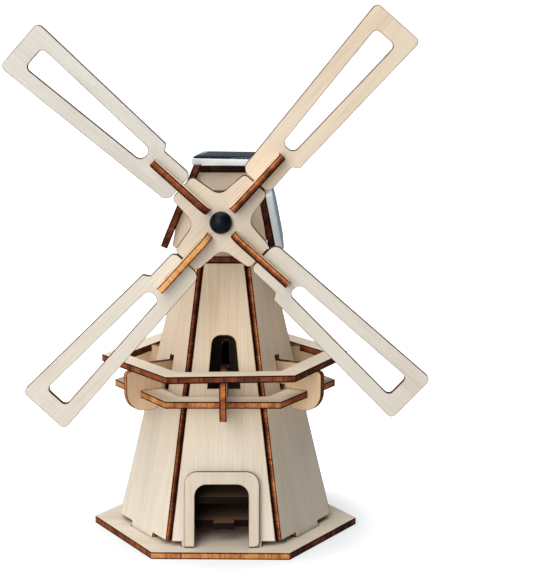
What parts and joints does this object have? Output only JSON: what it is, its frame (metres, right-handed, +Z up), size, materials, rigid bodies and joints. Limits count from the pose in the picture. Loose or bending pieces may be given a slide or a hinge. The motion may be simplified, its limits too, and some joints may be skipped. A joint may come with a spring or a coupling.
{
  "type": "solar windmill model kit",
  "caption": "Slotted plywood windmill: hexagonal tower on a base plate, ringed balcony, small cap with solar panels and motor, and sails that spin.",
  "frame": {"origin": "centre of the base plate's underside, on the tower's axis", "axes": "+Z up the tower, -Y to the front where the door and sails are, +X to the right seen from the front"},
  "size_m": [0.1729, 0.1118, 0.2317],
  "materials": {
    "plywood": "bare plywood with laser-browned edges",
    "roof_plywood": "bare plywood with dark laser-cut edges",
    "panel_tray": "satin white",
    "panel_cell": "dark blue cell under clear resin",
    "motor_steel": "zinc-plated",
    "magnet": "matt ferrite",
    "motor_plastic": "moulded nylon",
    "contact": "bright",
    "winding": "enamelled copper on steel laminations",
    "hub_plastic": "moulded black"
  },
  "bodies": {
    "tower": {"base_plate": "plywood", "door_frame": "plywood", "lower_former": "plywood", "upper_former": "plywood", "tower_top_plate": "roof_plywood", "wall_front": "plywood", "wall_front_right": "plywood", "wall_back_right": "plywood", "wall_back": "plywood", "wall_back_left": "plywood", "wall_front_left": "plywood", "balcony_ring": "plywood", "balcony_brace_ring": "plywood", "bracket_front": "plywood", "bracket_front_right": "plywood", "bracket_back_right": "plywood", "bracket_back": "plywood", "bracket_back_left": "plywood", "bracket_front_left": "plywood", "gable_front": "roof_plywood", "gable_back": "roof_plywood", "roof_left_plate": "roof_plywood", "roof_right_plate": "roof_plywood", "roof_flat_plate": "roof_plywood", "top_panel_tray": "panel_tray", "top_panel_cell": "panel_cell", "side_panel_tray": "panel_tray", "side_panel_cell": "panel_cell", "motor_can": "motor_steel", "motor_magnets": "magnet", "motor_end_cap": "motor_plastic", "motor_bushes": "contact", "motor_brushes": "contact", "motor_terminals": "contact"},
    "rotor": {"motor_shaft": "motor_steel", "motor_armature": "winding", "hub_cap": "hub_plastic", "sail_cross": "plywood", "slat_upper_right": "plywood", "slat_upper_left": "plywood", "slat_lower_left": "plywood", "slat_lower_right": "plywood", "sail_upper_right": "plywood", "sail_upper_left": "plywood", "sail_lower_left": "plywood", "sail_lower_right": "plywood"}
  },
  "joints": [
    {"name": "sails_spin", "type": "hinge", "parent": "tower", "child": "rotor", "pos_m": [-0.0005, -0.051, 0.1441], "axis": [0, -1, 0], "continuous": true}
  ]
}
